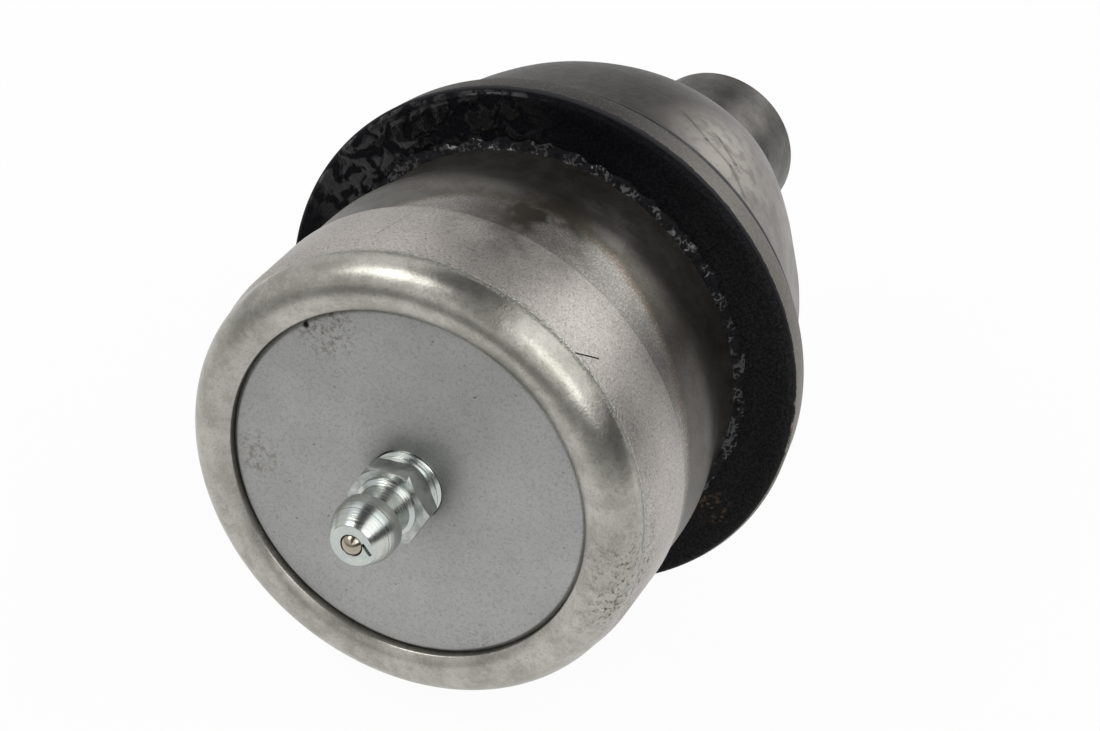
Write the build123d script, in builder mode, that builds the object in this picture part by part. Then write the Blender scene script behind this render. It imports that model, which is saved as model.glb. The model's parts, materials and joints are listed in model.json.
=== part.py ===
from build123d import *
import os
from math import cos, radians, sin, sqrt

# Press-in, greaseable suspension ball joint, in millimetres.
# The joint's axis is Y: the cover and its grease fitting face -Y, the stud points to +Y.
# The origin is on that axis, in the middle of the press-fit land. +Z is up.

# ---- housing, outside ----
press_fit_diameter = 47.6      # land that presses into the axle end or control arm
press_land_length = 7.2
lead_in_length = 1.4           # eased start of the land, beside the bead
lead_in_drop = 0.475           # from the land down to the bead's sharp edge
land_step = 0.35               # relief step behind the land
neck_straight_length = 6.0
neck_blend_length = 9.5
waist_depth = 1.8              # from the land down to the waist in front of the flange
flange_diameter = 56.4
flange_thickness = 3.7
flange_back_drop = 0.5         # the rim tapers towards the back face
flange_edge_radius = 0.4
spigot_diameter = 45.2         # short nose that carries the dust boot
spigot_length = 4.5
spigot_chamfer = 0.5
rib_groove_depth = 0.8         # groove in the spigot, for the boot's inner rib
rib_groove_width = 2.0
rib_groove_from_flange = 1.1

# ---- rolled lip and cover ----
cover_ledge = 2.2              # the cover's rim rests on this ledge round the bore
cover_thickness = 3.2
cover_bevel = 1.05
cover_hollow_diameter = 20.0   # shallow hollow turned in the cover's inner face
cover_hollow_depth = 0.5
face_to_bead_edge = 2.7        # cover's outer face to the bead's sharp edge
lip_overlap = 0.55             # how far the lip reaches in over the rim
lip_proud = 0.44               # the lip's inner edge stands this far out of the cover's face
lip_crown = 2.02               # how far the lip's round bead bulges out between its two edges
cover_seal_section = 1.1
cover_seal_outset = 1.1        # bore to the middle of the ring's section
fit_gap = 0.05                 # gap between pieces that are pressed or rolled together

# ---- bearings and preload spring ----
ball_diameter = 30.0
film_gap = 0.15                # grease film between the ball and its seats
bearing_wall = 2.0             # from the ball out to the bore, at the equator
seat_running_gap = 0.1         # the pressure seat turns in the bore
seat_to_bearing_gap = 1.2
seat_web = 5.2                 # the seat's thickness under the ball
seat_grease_hole = 5.0
seat_back_bevel = 1.5
grease_groove_radius = 0.9
bearing_length = 8.5           # ball's centre to the back of the stud bearing
bearing_mouth_angle = 61.5     # where the bearing lets go of the ball, from the axis
bearing_mouth_flare = 1.3
spring_hole_diameter = 15.0
spring_height = 3.5
spring_bore_gap = 1.5
spring_plate = 1.6
spring_seat_gap = 0.1
shoulder_ledge = 1.8           # the shoulder that backs the stud bearing
shoulder_thickness = 2.7
shoulder_flare = 1.2

# ---- ball stud ----
ball_flat_diameter = 12.0
stud_neck_diameter = 16.0
stud_neck_fillet = 3.0
stud_neck_reach = 17.0         # ball's centre to the end of the neck
shank_diameter = 18.0
shank_reach = 19.0             # ball's centre to the full shank
stud_reach = 55.3              # ball's centre to the stud's end
stud_end_chamfer = 1.0
clamp_groove_from_end = 12.3   # middle of the groove that the clamp bolt passes
clamp_groove_depth = 1.5
clamp_groove_radius = 5.0

# ---- seals and boot ----
seal_rim_thickness = 0.8       # outer band of the seal on the flange
seal_face_thickness = 0.5      # inner band
seal_rim_width = 1.3
seal_rim_inset = 0.3
seal_edge_chamfer = 0.25
seal_neck_gap = 0.1
boot_bead_wall = 3.0           # round the spigot
boot_base_height = 3.8
boot_shoulder_inset = 3.8      # base to shoulder
boot_shoulder_reach = 25.4     # ball's centre to the boot's shoulder
boot_end_reach = 34.0          # ball's centre to the boot's small end
boot_end_length = 4.2
boot_end_wall = 1.9
boot_wall = 2.2
boot_gap = 0.2                 # the boot's bead round the spigot
boot_flange_gap = 0.1
base_ring_wire = 1.6
base_ring_from_flange = 1.9
ring_groove_gap = 0.07
collar_wall = 1.45
collar_running_gap = 0.05
collar_boot_gap = 0.1
collar_lip_width = 1.1
collar_lip_thickness = 0.7
garter_wire = 1.3
garter_from_end = 2.0

# ---- grease fitting ----
thread_diameter = 7.4
thread_showing = 1.9
hex_across_flats = 7.5
hex_length = 2.1
hex_corner_angle = 58.0        # one corner, measured from +X towards +Z
hex_chamfer_diameter = 7.7
hex_chamfer_slope = 0.55
waist_of_fitting = 5.2
waist_of_fitting_length = 2.6
nose_diameter = 6.56
nose_shoulder = 0.6
nose_land = 1.5
nose_cone_length = 2.6
nose_bulge = 0.13
nose_tip_diameter = 4.3
grease_passage = 1.7
valve_chamber = 2.7
valve_chamber_length = 5.6
valve_mouth = 2.2
valve_mouth_length = 0.4
shank_past_cover = 1.0
check_ball_diameter = 2.4
check_ball_gap = 0.1
check_spring_wire = 0.3
check_spring_diameter = 2.1
check_spring_turns = 5

# ---- radii that several pieces share ----
land_radius = press_fit_diameter / 2
neck_radius = land_radius - land_step
waist_radius = land_radius - waist_depth
bead_edge_radius = land_radius - lead_in_drop
flange_radius = flange_diameter / 2
seal_rim_radius = flange_radius - flange_edge_radius - seal_rim_inset
spigot_radius = spigot_diameter / 2
ball_radius = ball_diameter / 2
seat_sphere = ball_radius + film_gap
bore_radius = ball_radius + bearing_wall
cover_radius = bore_radius + cover_ledge
cover_seal_radius = bore_radius + cover_seal_outset
cover_seal_groove = cover_seal_section / 2 + fit_gap
shank_radius = shank_diameter / 2
collar_radius = shank_radius + collar_running_gap + collar_wall
boot_end_bore = collar_radius + collar_boot_gap
boot_end_radius = boot_end_bore + boot_end_wall
boot_bead_bore = spigot_radius + boot_gap
boot_base_radius = boot_bead_bore + boot_bead_wall
thread_radius = thread_diameter / 2

# ---- places along the axis ----
land_start = -press_land_length / 2
land_end = press_land_length / 2
bead_edge = land_start - lead_in_length
cover_face = bead_edge - face_to_bead_edge
cover_back = cover_face + cover_thickness
seat_back = cover_back + spring_height + spring_seat_gap
ball_centre = seat_back + seat_web + ball_radius
seat_front = ball_centre - seat_to_bearing_gap / 2
bearing_front = ball_centre + seat_to_bearing_gap / 2
bearing_back = ball_centre + bearing_length
spigot_end = bearing_back + shoulder_thickness
flange_back = spigot_end - spigot_length
flange_front = flange_back - flange_thickness
boot_shoulder = ball_centre + boot_shoulder_reach
boot_end = ball_centre + boot_end_reach
stud_end = ball_centre + stud_reach
hex_back = cover_face - thread_showing
hex_front = hex_back - hex_length
nose_back = hex_front - waist_of_fitting_length
nose_start = nose_back - nose_shoulder
cone_start = nose_start - nose_land
nose_tip = cone_start - nose_cone_length

part_folder = "parts"
os.makedirs(part_folder, exist_ok=True)


def on_sphere(radius, angle):
    """Point of a sphere round the ball's centre, with the angle measured from the stud's axis."""
    return (radius * sin(radians(angle)), ball_centre + radius * cos(radians(angle)))


def angle_at(radius, height):
    """Angle from the stud's axis at which a sphere reaches a height over the ball's centre."""
    return Vector(0, 1, 0).get_angle(Vector(sqrt(radius**2 - height**2), height, 0))


def save(piece, label):
    """Labels a finished piece and writes its STEP file."""
    piece.part.label = label
    export_step(piece.part, f"{part_folder}/{label}.step")


# ---- housing: one turned forging, its lip rolled over the cover ----
lip_edge = cover_face - lip_proud
lip_under_start = cover_radius + fit_gap
lip_under_rise = cover_bevel + fit_gap - fit_gap * sqrt(2)
lip_inner = cover_radius - lip_overlap
neck_start = land_end + land_step
blend_start = neck_start + neck_straight_length
blend_end = blend_start + neck_blend_length
blend_middle = ((neck_radius + waist_radius) / 2, (blend_start + blend_end) / 2)
groove_start = flange_back + rib_groove_from_flange
groove_end = groove_start + rib_groove_width
groove_radius = spigot_radius - rib_groove_depth
with BuildPart() as housing:
    with BuildSketch(Plane.XY) as housing_section:
        with BuildLine():
            Polyline(
                (bore_radius, cover_back),
                (lip_under_start, cover_back),
                (lip_under_start, cover_face + lip_under_rise),
                (lip_inner, cover_face + lip_under_rise - (lip_under_start - lip_inner)),
                (lip_inner, lip_edge),
            )
            SagittaArc((lip_inner, lip_edge), (bead_edge_radius, bead_edge), -lip_crown)
            Polyline(
                (bead_edge_radius, bead_edge),
                (land_radius, land_start),
                (land_radius, land_end),
                (neck_radius, neck_start),
                (neck_radius, blend_start),
            )
            TangentArc((neck_radius, blend_start), blend_middle, tangent=(0, 1))
            TangentArc((waist_radius, blend_end), blend_middle, tangent=(0, -1))
            Polyline(
                (waist_radius, blend_end),
                (waist_radius, flange_front),
                (flange_radius, flange_front),
                (flange_radius - flange_back_drop, flange_back),
                (spigot_radius, flange_back),
                (spigot_radius, groove_start),
                (groove_radius, groove_start),
                (groove_radius, groove_end),
                (spigot_radius, groove_end),
                (spigot_radius, spigot_end - spigot_chamfer),
                (spigot_radius - spigot_chamfer, spigot_end),
                (bore_radius - shoulder_ledge + shoulder_flare, spigot_end),
                (bore_radius - shoulder_ledge, bearing_back),
                (bore_radius, bearing_back),
                (bore_radius, cover_back),
            )
        make_face()
        fillet(housing_section.vertices().sort_by(Axis.X)[-2:], radius=flange_edge_radius)
    revolve(axis=Axis.Y)
    with BuildSketch(Plane.XY):
        with Locations((cover_seal_radius, cover_back + cover_seal_groove)):
            Rectangle(2 * cover_seal_groove, 2 * cover_seal_groove)
    revolve(axis=Axis.Y, mode=Mode.SUBTRACT)
save(housing, "housing")

# ---- cover plate: bevelled disc, drilled for the grease fitting ----
with BuildPart() as cover_plate:
    with BuildSketch(Plane.XY):
        with BuildLine():
            Polyline(
                (thread_radius + fit_gap, cover_face),
                (cover_radius - cover_bevel, cover_face),
                (cover_radius, cover_face + cover_bevel),
                (cover_radius, cover_back),
                (cover_hollow_diameter / 2 + cover_hollow_depth, cover_back),
                (cover_hollow_diameter / 2, cover_back - cover_hollow_depth),
                (thread_radius + fit_gap, cover_back - cover_hollow_depth),
                close=True,
            )
        make_face()
    revolve(axis=Axis.Y)
save(cover_plate, "cover_plate")

# ---- cover seal: rubber ring in the groove under the cover's rim ----
with BuildPart() as cover_seal:
    with BuildSketch(Plane.XY):
        with Locations((cover_seal_radius, cover_back + cover_seal_groove)):
            Circle(cover_seal_section / 2)
    revolve(axis=Axis.Y)
save(cover_seal, "cover_seal")

# ---- preload spring: coned disc between the cover and the pressure seat ----
spring_top = cover_back + spring_height
spring_radius = bore_radius - spring_bore_gap
with BuildPart() as preload_spring:
    with BuildSketch(Plane.XY):
        with BuildLine():
            Polyline(
                (spring_radius, cover_back),
                (spring_radius, cover_back + spring_plate),
                (spring_hole_diameter / 2, spring_top),
                (spring_hole_diameter / 2, spring_top - spring_plate),
                close=True,
            )
        make_face()
    revolve(axis=Axis.Y)
save(preload_spring, "preload_spring")

# ---- pressure seat: cup under the ball, with a grease hole and crossed grease grooves ----
seat_radius = bore_radius - seat_running_gap
hole_angle = 180 - angle_at(seat_sphere, sqrt(seat_sphere**2 - (seat_grease_hole / 2) ** 2))
seat_edge_angle = 180 - angle_at(seat_sphere, ball_centre - seat_front)
with BuildPart() as pressure_seat:
    with BuildSketch(Plane.XY):
        with BuildLine():
            Line(on_sphere(seat_sphere, hole_angle), (seat_grease_hole / 2, seat_back))
            Polyline(
                (seat_grease_hole / 2, seat_back),
                (seat_radius - seat_back_bevel, seat_back),
                (seat_radius, seat_back + seat_back_bevel),
                (seat_radius, seat_front),
                on_sphere(seat_sphere, seat_edge_angle),
            )
            ThreePointArc(
                on_sphere(seat_sphere, seat_edge_angle),
                on_sphere(seat_sphere, (seat_edge_angle + hole_angle) / 2),
                on_sphere(seat_sphere, hole_angle),
            )
        make_face()
    revolve(axis=Axis.Y)
    with Locations((0, ball_centre, 0)):
        Torus(seat_sphere, grease_groove_radius, mode=Mode.SUBTRACT)
        Torus(seat_sphere, grease_groove_radius, rotation=(0, 90, 0), mode=Mode.SUBTRACT)
save(pressure_seat, "pressure_seat")

# ---- stud bearing: ring round the stud's side of the ball, pressed in the bore ----
bearing_edge_angle = angle_at(seat_sphere, bearing_front - ball_centre)
mouth_edge = on_sphere(seat_sphere, bearing_mouth_angle)
with BuildPart() as stud_bearing:
    with BuildSketch(Plane.XY):
        with BuildLine():
            ThreePointArc(
                on_sphere(seat_sphere, bearing_edge_angle),
                on_sphere(seat_sphere, (bearing_edge_angle + bearing_mouth_angle) / 2),
                mouth_edge,
            )
            Polyline(
                mouth_edge,
                (mouth_edge[0] + bearing_mouth_flare, bearing_back),
                (bore_radius - fit_gap, bearing_back),
                (bore_radius - fit_gap, bearing_front),
                on_sphere(seat_sphere, bearing_edge_angle),
            )
        make_face()
    revolve(axis=Axis.Y)
    with Locations((0, ball_centre, 0)):
        Torus(seat_sphere, grease_groove_radius, mode=Mode.SUBTRACT)
        Torus(seat_sphere, grease_groove_radius, rotation=(0, 90, 0), mode=Mode.SUBTRACT)
save(stud_bearing, "stud_bearing")

# ---- ball stud: flatted ball, filleted neck, plain shank with a groove for the clamp bolt ----
neck_of_stud = stud_neck_diameter / 2
fillet_radial = neck_of_stud + stud_neck_fillet
fillet_span = ball_radius + stud_neck_fillet
fillet_height = sqrt(fillet_span**2 - fillet_radial**2)
fillet_angle = angle_at(fillet_span, fillet_height)
flat_angle = 180 - angle_at(ball_radius, sqrt(ball_radius**2 - (ball_flat_diameter / 2) ** 2))
fillet_turn = radians((90 + fillet_angle) / 2)
clamp_groove = stud_end - clamp_groove_from_end
clamp_groove_half = sqrt(
    clamp_groove_radius**2 - (clamp_groove_radius - clamp_groove_depth) ** 2
)
with BuildPart() as ball_stud:
    with BuildSketch(Plane.XY):
        with BuildLine():
            Line((0, on_sphere(ball_radius, flat_angle)[1]), on_sphere(ball_radius, flat_angle))
            ThreePointArc(
                on_sphere(ball_radius, flat_angle),
                on_sphere(ball_radius, (flat_angle + fillet_angle) / 2),
                on_sphere(ball_radius, fillet_angle),
            )
            ThreePointArc(
                on_sphere(ball_radius, fillet_angle),
                (
                    fillet_radial - stud_neck_fillet * sin(fillet_turn),
                    ball_centre + fillet_height - stud_neck_fillet * cos(fillet_turn),
                ),
                (neck_of_stud, ball_centre + fillet_height),
            )
            Polyline(
                (neck_of_stud, ball_centre + fillet_height),
                (neck_of_stud, ball_centre + stud_neck_reach),
                (shank_radius, ball_centre + shank_reach),
                (shank_radius, clamp_groove - clamp_groove_half),
            )
            ThreePointArc(
                (shank_radius, clamp_groove - clamp_groove_half),
                (shank_radius - clamp_groove_depth, clamp_groove),
                (shank_radius, clamp_groove + clamp_groove_half),
            )
            Polyline(
                (shank_radius, clamp_groove + clamp_groove_half),
                (shank_radius, stud_end - stud_end_chamfer),
                (shank_radius - stud_end_chamfer, stud_end),
                (0, stud_end),
                (0, on_sphere(ball_radius, flat_angle)[1]),
            )
        make_face()
    revolve(axis=Axis.Y)
save(ball_stud, "ball_stud")

# ---- flange seal: flat rubber ring on the flange, thicker at its rim ----
with BuildPart() as flange_seal:
    with BuildSketch(Plane.XY):
        with BuildLine():
            Polyline(
                (waist_radius + seal_neck_gap, flange_front),
                (seal_rim_radius, flange_front),
                (seal_rim_radius, flange_front - seal_rim_thickness + seal_edge_chamfer),
                (seal_rim_radius - seal_edge_chamfer, flange_front - seal_rim_thickness),
                (seal_rim_radius - seal_rim_width, flange_front - seal_rim_thickness),
                (seal_rim_radius - seal_rim_width, flange_front - seal_face_thickness),
                (waist_radius + seal_neck_gap, flange_front - seal_face_thickness),
                close=True,
            )
        make_face()
    revolve(axis=Axis.Y)
save(flange_seal, "flange_seal")

# ---- dust boot: thick bead on the spigot, domed shoulder, small end round the collar ----
base_end = flange_back + boot_base_height
boot_start = flange_back + boot_flange_gap
end_start = boot_end - boot_end_length
garter_place = boot_end - garter_from_end
base_ring_place = flange_back + base_ring_from_flange
rib_start = groove_start + boot_gap
rib_end = groove_end - boot_gap
shoulder_radius = boot_base_radius - boot_shoulder_inset
with BuildPart() as dust_boot:
    with BuildSketch(Plane.XY):
        with BuildLine():
            Line((boot_base_radius, boot_start), (boot_base_radius, base_end))
            Spline(
                (boot_base_radius, base_end),
                (shoulder_radius, boot_shoulder),
                (boot_end_radius, end_start),
                tangents=((0, 1), (-1, 0)),
            )
            Polyline(
                (boot_end_radius, end_start),
                (boot_end_radius, boot_end),
                (boot_end_bore, boot_end),
                (boot_end_bore, end_start - boot_wall),
            )
            Spline(
                (boot_end_bore, end_start - boot_wall),
                (shoulder_radius - boot_wall, boot_shoulder - boot_wall / 2),
                (boot_base_radius - boot_wall, base_end),
                tangents=((1, 0), (0, -1)),
            )
            Polyline(
                (boot_base_radius - boot_wall, base_end),
                (boot_bead_bore, base_end),
                (boot_bead_bore, rib_end),
                (groove_radius + boot_gap, rib_end),
                (groove_radius + boot_gap, rib_start),
                (boot_bead_bore, rib_start),
                (boot_bead_bore, boot_start),
                (boot_base_radius, boot_start),
            )
        make_face()
        with Locations((boot_end_radius, garter_place)):
            Circle(garter_wire / 2 + ring_groove_gap, mode=Mode.SUBTRACT)
        with Locations((boot_base_radius, base_ring_place)):
            Circle(base_ring_wire / 2 + ring_groove_gap, mode=Mode.SUBTRACT)
    revolve(axis=Axis.Y)
save(dust_boot, "dust_boot")

# ---- boot rings: wire round the base bead, garter round the small end ----
with BuildPart() as boot_base_ring:
    with BuildSketch(Plane.XY):
        with Locations((boot_base_radius, base_ring_place)):
            Circle(base_ring_wire / 2)
    revolve(axis=Axis.Y)
save(boot_base_ring, "boot_base_ring")

with BuildPart() as boot_garter:
    with BuildSketch(Plane.XY):
        with Locations((boot_end_radius, garter_place)):
            Circle(garter_wire / 2)
    revolve(axis=Axis.Y)
save(boot_garter, "boot_garter")

# ---- boot collar: steel ring in the boot's small end, in which the stud turns ----
collar_back = boot_end + boot_flange_gap
with BuildPart() as boot_collar:
    with BuildSketch(Plane.XY):
        with BuildLine():
            Polyline(
                (shank_radius + collar_running_gap, end_start),
                (collar_radius, end_start),
                (collar_radius, collar_back),
                (collar_radius + collar_lip_width, collar_back),
                (collar_radius + collar_lip_width, collar_back + collar_lip_thickness),
                (shank_radius + collar_running_gap, collar_back + collar_lip_thickness),
                close=True,
            )
        make_face()
    revolve(axis=Axis.Y)
save(boot_collar, "boot_collar")

# ---- grease fitting: threaded shank, hexagon, waist and coupling nose, bored for its valve ----
nose_radius = nose_diameter / 2
shank_inner_end = cover_back + shank_past_cover
chamber_end = nose_tip + valve_chamber_length
with BuildPart() as grease_fitting:
    with BuildSketch(Plane.XY):
        with BuildLine():
            Polyline(
                (0, shank_inner_end),
                (thread_radius, shank_inner_end),
                (thread_radius, hex_back),
                (waist_of_fitting / 2, hex_back),
                (waist_of_fitting / 2, nose_back),
                (nose_radius, nose_start),
                (nose_radius, cone_start),
            )
            SagittaArc((nose_radius, cone_start), (nose_tip_diameter / 2, nose_tip), nose_bulge)
            Polyline(
                (nose_tip_diameter / 2, nose_tip),
                (0, nose_tip),
                (0, shank_inner_end),
            )
        make_face()
    revolve(axis=Axis.Y)
    with BuildSketch(Plane.XZ.offset(-hex_back)):
        RegularPolygon(hex_across_flats / 2, 6, major_radius=False, rotation=hex_corner_angle)
    extrude(amount=hex_length)
    with BuildSketch(Plane.XY):
        with BuildLine():
            hex_corner = hex_across_flats / sqrt(3) + fit_gap
            chamfer_drop = (hex_corner - hex_chamfer_diameter / 2) * hex_chamfer_slope
            Polyline(
                (hex_chamfer_diameter / 2, hex_front),
                (hex_corner, hex_front),
                (hex_corner, hex_front + chamfer_drop),
                close=True,
            )
            Polyline(
                (hex_chamfer_diameter / 2, hex_back),
                (hex_corner, hex_back),
                (hex_corner, hex_back - chamfer_drop),
                close=True,
            )
        make_face()
    revolve(axis=Axis.Y, mode=Mode.SUBTRACT)
    with BuildSketch(Plane.XY):
        with BuildLine():
            Polyline(
                (0, nose_tip),
                (valve_mouth / 2, nose_tip),
                (valve_chamber / 2, nose_tip + valve_mouth_length),
                (valve_chamber / 2, chamber_end),
                (grease_passage / 2, chamber_end),
                (grease_passage / 2, shank_inner_end),
                (0, shank_inner_end),
                close=True,
            )
        make_face()
    revolve(axis=Axis.Y, mode=Mode.SUBTRACT)
save(grease_fitting, "grease_fitting")

# ---- check valve: steel ball behind the fitting's mouth, held out by a small coil spring ----
check_ball_radius = check_ball_diameter / 2
check_ball_place = nose_tip + sqrt(
    (check_ball_radius + check_ball_gap) ** 2 - (valve_mouth / 2) ** 2
)
with BuildPart() as check_ball:
    with Locations((0, check_ball_place, 0)):
        Sphere(check_ball_radius)
save(check_ball, "check_ball")

wire_radius = check_spring_wire / 2
coil_radius = check_spring_diameter / 2
spring_contact = sqrt(
    (check_ball_radius + wire_radius + fit_gap) ** 2 - coil_radius**2
)
coil_start = check_ball_place + spring_contact
coil_end = chamber_end - wire_radius
with BuildPart() as check_spring:
    with BuildLine():
        coil = Helix(
            pitch=(coil_end - coil_start) / check_spring_turns,
            height=coil_end - coil_start,
            radius=coil_radius,
            center=(0, coil_start, 0),
            direction=(0, 1, 0),
        )
    with BuildSketch(Plane(origin=coil @ 0, z_dir=coil % 0)):
        Circle(wire_radius)
    sweep(path=coil)
save(check_spring, "check_spring")
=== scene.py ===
import json
from math import atan2, cos, hypot, pi, radians, sin

import bpy
from mathutils import Matrix, Vector

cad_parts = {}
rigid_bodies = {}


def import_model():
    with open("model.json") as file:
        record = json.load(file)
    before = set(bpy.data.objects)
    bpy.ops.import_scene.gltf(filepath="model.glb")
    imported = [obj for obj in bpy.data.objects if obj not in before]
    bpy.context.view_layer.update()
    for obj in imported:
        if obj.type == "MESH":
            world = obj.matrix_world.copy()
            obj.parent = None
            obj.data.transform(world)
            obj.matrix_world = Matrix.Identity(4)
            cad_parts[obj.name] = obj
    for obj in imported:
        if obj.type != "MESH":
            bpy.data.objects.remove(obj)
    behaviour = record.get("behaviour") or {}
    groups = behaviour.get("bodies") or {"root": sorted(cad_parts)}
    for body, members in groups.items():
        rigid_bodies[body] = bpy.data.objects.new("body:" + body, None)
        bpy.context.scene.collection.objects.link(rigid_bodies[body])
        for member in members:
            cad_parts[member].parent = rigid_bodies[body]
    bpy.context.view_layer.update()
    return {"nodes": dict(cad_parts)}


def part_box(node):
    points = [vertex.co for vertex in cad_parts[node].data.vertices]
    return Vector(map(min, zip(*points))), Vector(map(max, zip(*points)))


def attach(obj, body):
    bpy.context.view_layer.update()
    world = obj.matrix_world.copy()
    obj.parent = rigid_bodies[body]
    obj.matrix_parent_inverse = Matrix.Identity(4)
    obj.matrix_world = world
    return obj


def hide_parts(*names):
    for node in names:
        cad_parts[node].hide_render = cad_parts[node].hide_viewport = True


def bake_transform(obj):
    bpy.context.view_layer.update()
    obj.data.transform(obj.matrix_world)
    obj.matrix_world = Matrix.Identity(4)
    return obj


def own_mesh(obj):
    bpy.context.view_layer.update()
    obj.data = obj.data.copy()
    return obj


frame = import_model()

mm = 0.001

# Press-in ball joint. The axis is Y, the cover and its fitting face -Y, the stud points to +Y.
# Every outline below is a list of (radius, place along the axis) in millimetres.


# camera, floor and light
view = {
    "azimuth": 24.0,        # degrees round the joint, from -Y
    "elevation": 29.8,
    "aim": (0.0, -7.7, 0.0),
    "across": 13.597,       # camera's offset from the aim, mm
    "above": 11.334,
    "distance": 283.21,
    "lens": 98.18,
}


def placeCamera(v):
    a, e = radians(v["azimuth"]), radians(v["elevation"])
    right = Vector((cos(a), sin(a), 0))
    forward = Vector((-sin(a) * cos(e), cos(a) * cos(e), -sin(e)))
    up = Vector((-sin(a) * sin(e), cos(a) * sin(e), cos(e)))
    place = Vector(v["aim"]) + v["across"] * right + v["above"] * up - v["distance"] * forward
    camera = bpy.data.cameras.new("camera")
    camera.lens = v["lens"]
    camera.sensor_width = 36
    camera.clip_start = 0.01
    holder = bpy.data.objects.new("camera", camera)
    bpy.context.scene.collection.objects.link(holder)
    turnTo = Matrix((right, up, -forward)).transposed().to_4x4()
    holder.matrix_world = Matrix.Translation(place * mm) @ turnTo
    bpy.context.scene.camera = holder


placeCamera(view)
print("camera placed")


# shader sums
class Flow:
    def __init__(self, tree, socket):
        self.tree, self.socket = tree, socket

    def sum(self, operation, *others, clamp=False):
        node = self.tree.nodes.new("ShaderNodeMath")
        node.operation = operation
        node.use_clamp = clamp
        for inlet, value in zip(node.inputs, (self,) + others):
            feed(self.tree, inlet, value)
        return Flow(self.tree, node.outputs[0])

    def __add__(self, other): return self.sum("ADD", other)
    def __radd__(self, other): return self.sum("ADD", other)
    def __sub__(self, other): return self.sum("SUBTRACT", other)
    def __rsub__(self, other): return (self * -1.0).sum("ADD", other)
    def __mul__(self, other): return self.sum("MULTIPLY", other)
    def __rmul__(self, other): return self.sum("MULTIPLY", other)
    def __truediv__(self, other): return self.sum("DIVIDE", other)
    def __rtruediv__(self, other): return self.sum("POWER", -1.0) * other

    def clamped(self): return self.sum("ADD", 0.0, clamp=True)

    def ramp(self, low, high):  # 0 below low, 1 above high, smooth between
        node = self.tree.nodes.new("ShaderNodeMapRange")
        node.interpolation_type = "SMOOTHSTEP"
        feed(self.tree, node.inputs["Value"], self)
        node.inputs["From Min"].default_value = low
        node.inputs["From Max"].default_value = high
        return Flow(self.tree, node.outputs[0])

    def band(self, low, high, soft):  # 1 between low and high
        return self.ramp(low - soft, low + soft) * (1.0 - self.ramp(high - soft, high + soft))


def feed(tree, inlet, value):
    if isinstance(value, Flow):
        tree.links.new(value.socket, inlet)
    elif isinstance(value, (tuple, list)) and len(value) == 3 and inlet.type == "RGBA":
        inlet.default_value = (*value, 1.0)
    else:
        inlet.default_value = value


class Finish:
    def __init__(self, name, **fixed):
        self.material = bpy.data.materials.new(name)
        self.material.use_nodes = True
        self.tree = self.material.node_tree
        self.shader = self.tree.nodes["Principled BSDF"]
        self.set(**fixed)
        self.place = self.make("TexCoord", out="Object")
        self.millimetres = self.make("VectorMath", operation="SCALE", into={0: self.place, "Scale": 1000.0})
        split = self.make("SeparateXYZ", into={0: self.millimetres})
        outs = split.socket.node.outputs
        self.x, self.y, self.z = (Flow(self.tree, outs[i]) for i in range(3))

    def make(self, kind, out=0, into=None, **settings):
        node = self.tree.nodes.new("ShaderNode" + kind)
        for key, value in settings.items():
            setattr(node, key, value)
        for key, value in (into or {}).items():
            feed(self.tree, node.inputs[key], value)
        return Flow(self.tree, node.outputs[out])

    def set(self, **sockets):
        for key, value in sockets.items():
            feed(self.tree, self.shader.inputs[key.replace("_", " ")], value)

    def noise(self, scale, detail=3.0, roughness=0.5, along=None, warp=0.0):  # scale: cycles per mm
        return self.make("TexNoise", into={"Vector": along or self.millimetres, "Scale": scale, "Detail": detail,
                                           "Roughness": roughness, "Distortion": warp})

    def stretched(self, x, y, z):
        return self.make("VectorMath", operation="MULTIPLY", into={0: self.millimetres, 1: (x, y, z)})

    def mix(self, factor, a, b):
        node = self.tree.nodes.new("ShaderNodeMix")
        node.data_type = "RGBA"
        node.clamp_factor = True
        feed(self.tree, node.inputs[0], factor)
        feed(self.tree, node.inputs[6], a)
        feed(self.tree, node.inputs[7], b)
        return Flow(self.tree, node.outputs[2])

    def relief(self, height, distance, strength=1.0):
        bump = self.make("Bump", into={"Height": height, "Distance": distance * mm, "Strength": strength})
        self.set(Normal=bump)

    def spot(self, centre, size, soft=0.5):  # 1 inside a ball of that size, in mm, round centre
        gap = self.make("VectorMath", out="Value", operation="DISTANCE", into={0: self.millimetres, 1: centre})
        return 1.0 - gap.ramp(size * (1 - soft), size * (1 + soft))

    def paintedSideLight(self, far):  # painted side light: paler towards +X, where the light falls
        return (self.x * 0.8 - self.z * 0.35).ramp(-5.0, far)

    def spots(self, marks):  # each mark: centre, size, softness, weight
        return sum(self.spot(centre, size, soft) * weight for centre, size, soft, weight in marks)

    def scratch(self, start, end, width):  # 1 along a straight mark between two points, in mm
        run = Vector(end) - Vector(start)
        gap = self.make("VectorMath", operation="SUBTRACT", into={0: self.millimetres, 1: start})
        along = self.make("VectorMath", out="Value", operation="DOT_PRODUCT", into={0: gap, 1: tuple(run)})
        share = (along / run.length_squared).clamped()
        foot = self.make("VectorMath", operation="SCALE", into={0: tuple(run), "Scale": share})
        off = self.make("VectorMath", out="Value", operation="DISTANCE", into={0: gap, 1: foot})
        return 1.0 - off.ramp(width * 0.5, width * 1.5)


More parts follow.
